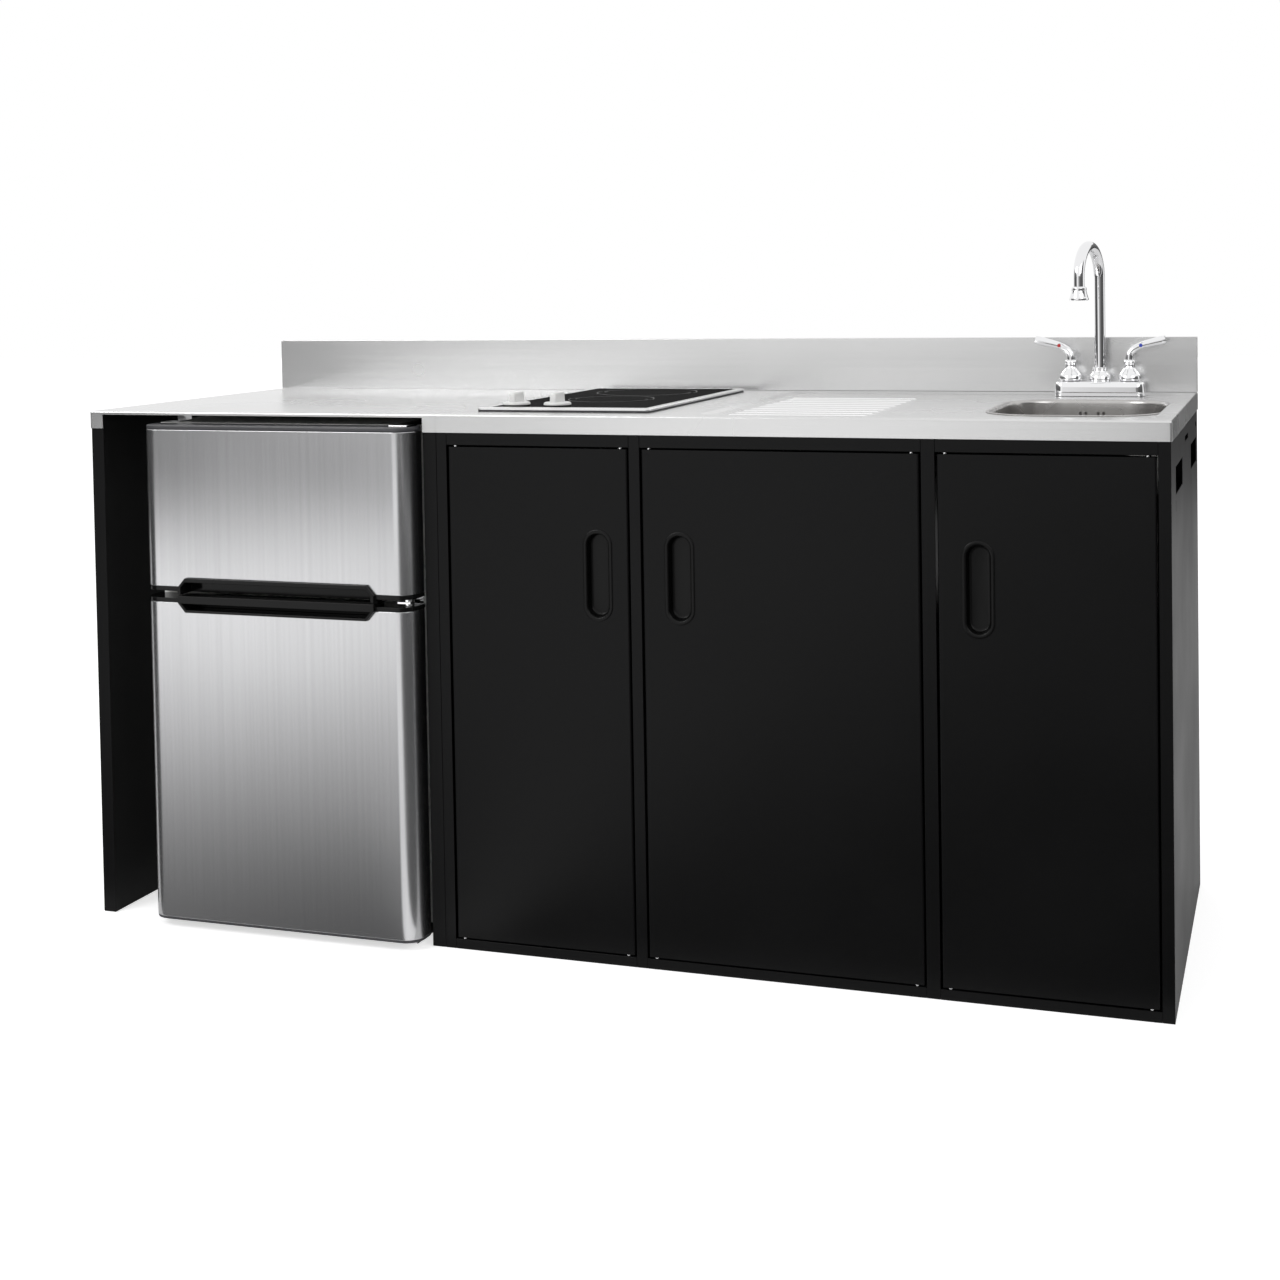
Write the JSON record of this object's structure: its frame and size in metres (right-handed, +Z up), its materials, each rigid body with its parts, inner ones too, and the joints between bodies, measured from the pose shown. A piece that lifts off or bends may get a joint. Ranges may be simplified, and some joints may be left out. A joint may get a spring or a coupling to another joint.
{
  "type": "kitchenette unit",
  "caption": "Free-standing steel kitchenette with a two-door fridge under a stainless worktop, inset glass hob, drainer, round-cornered sink with gooseneck faucet and flush black doors.",
  "frame": {"origin": "centre of the footprint on the floor", "axes": "+X to the unit's right along its length, +Y to its back, +Z up"},
  "size_m": [1.829, 0.679, 1.1434],
  "materials": {
    "stainless": "satin brushed",
    "fridge_steel": "brushed",
    "black_steel": "satin black powder coat",
    "chrome": "polished",
    "hob_glass": "black ceramic glass",
    "clear_glass": "clear",
    "crisper_plastic": "translucent",
    "black_plastic": "semi-gloss black",
    "fridge_white": "white",
    "knob_silver": "silver-white",
    "grey_plastic": "matt",
    "element_fibre": "matt mineral fibre",
    "gasket_rubber": "matt"
  },
  "bodies": {
    "unit": {"left_worktop": "stainless", "main_worktop": "stainless", "backsplash": "stainless", "sink_bowl": "stainless", "overflow_box": "stainless", "strainer_body": "stainless", "hob_frame": "stainless", "hob_tray": "stainless", "left_side_panel": "black_steel", "bay_right_panel": "black_steel", "bay_rear_rail": "black_steel", "cabinet_one_left_side": "black_steel", "cabinet_one_right_side": "black_steel", "cabinet_three_left_side": "black_steel", "right_side_panel": "black_steel", "cabinet_one_floor": "black_steel", "centre_floor": "black_steel", "cabinet_three_floor": "black_steel", "rear_panel": "black_steel", "cabinet_one_top_rail": "black_steel", "centre_top_rail": "black_steel", "cabinet_three_top_rail": "black_steel", "fridge_base_pan": "black_steel", "compressor": "black_steel", "faucet_base": "chrome", "drain_tailpiece": "chrome", "drain_trap": "chrome", "top_hinge": "chrome", "middle_hinge": "chrome", "bottom_hinge": "chrome", "fridge_top_bracket": "chrome", "hob_glass": "hob_glass", "fridge_shelf": "clear_glass", "crisper_drawer": "crisper_plastic", "fridge_cabinet": "fridge_white", "left_regulator": "grey_plastic", "right_regulator": "grey_plastic", "hot_nut": "grey_plastic", "cold_nut": "grey_plastic", "front_element": "element_fibre", "rear_element": "element_fibre"},
    "door_one": {"door_one": "black_steel", "door_one_cup": "black_plastic"},
    "door_two": {"door_two": "black_steel", "door_two_cup": "black_plastic"},
    "door_three": {"door_three": "black_steel", "door_three_cup": "black_plastic"},
    "freezer_door": {"freezer_door": "fridge_steel", "freezer_handle": "black_plastic", "freezer_gasket": "gasket_rubber"},
    "fridge_door": {"fridge_door": "fridge_steel", "fridge_handle": "black_plastic", "fridge_gasket": "gasket_rubber"},
    "spout": {"faucet_spout": "chrome", "faucet_aerator": "chrome"},
    "hot_lever": {"hot_lever": "chrome"},
    "cold_lever": {"cold_lever": "chrome"},
    "left_knob": {"left_knob": "knob_silver"},
    "right_knob": {"right_knob": "knob_silver"},
    "strainer_basket": {"strainer_basket": "stainless"}
  },
  "joints": [
    {"name": "door_one_hinge", "type": "hinge", "parent": "unit", "child": "door_one", "pos_m": [-0.2195, -0.2837, 0.42], "axis": [0, 0, -1], "range_deg": [0, 95]},
    {"name": "door_two_hinge", "type": "hinge", "parent": "unit", "child": "door_two", "pos_m": [0.5325, -0.2837, 0.42], "axis": [0, 0, 1], "range_deg": [0, 95]},
    {"name": "door_three_hinge", "type": "hinge", "parent": "unit", "child": "door_three", "pos_m": [0.8797, -0.2837, 0.42], "axis": [0, 0, 1], "range_deg": [0, 95]},
    {"name": "freezer_door_hinge", "type": "hinge", "parent": "unit", "child": "freezer_door", "pos_m": [-0.2985, -0.3105, 0.72], "axis": [0, 0, 1], "range_deg": [0, 90]},
    {"name": "fridge_door_hinge", "type": "hinge", "parent": "unit", "child": "fridge_door", "pos_m": [-0.2985, -0.3105, 0.285], "axis": [0, 0, 1], "range_deg": [0, 90]},
    {"name": "spout_swivel", "type": "hinge", "parent": "unit", "child": "spout", "pos_m": [0.7505, 0.2865, 0.905], "axis": [0, 0, 1], "range_deg": [-78, 102]},
    {"name": "hot_lever_turn", "type": "hinge", "parent": "unit", "child": "hot_lever", "pos_m": [0.6995, 0.2865, 0.91], "axis": [0, 0, 1], "range_deg": [0, 90]},
    {"name": "cold_lever_turn", "type": "hinge", "parent": "unit", "child": "cold_lever", "pos_m": [0.8015, 0.2865, 0.91], "axis": [0, 0, -1], "range_deg": [0, 90]},
    {"name": "left_knob_turn", "type": "hinge", "parent": "unit", "child": "left_knob", "pos_m": [-0.1665, -0.1655, 0.89], "axis": [0, 0, -1], "range_deg": [0, 285]},
    {"name": "right_knob_turn", "type": "hinge", "parent": "unit", "child": "right_knob", "pos_m": [-0.0925, -0.1655, 0.89], "axis": [0, 0, -1], "range_deg": [0, 285]},
    {"name": "strainer_basket_lift", "type": "slide", "parent": "unit", "child": "strainer_basket", "axis": [0, 0, 1], "range_m": [0, 0.035]}
  ]
}
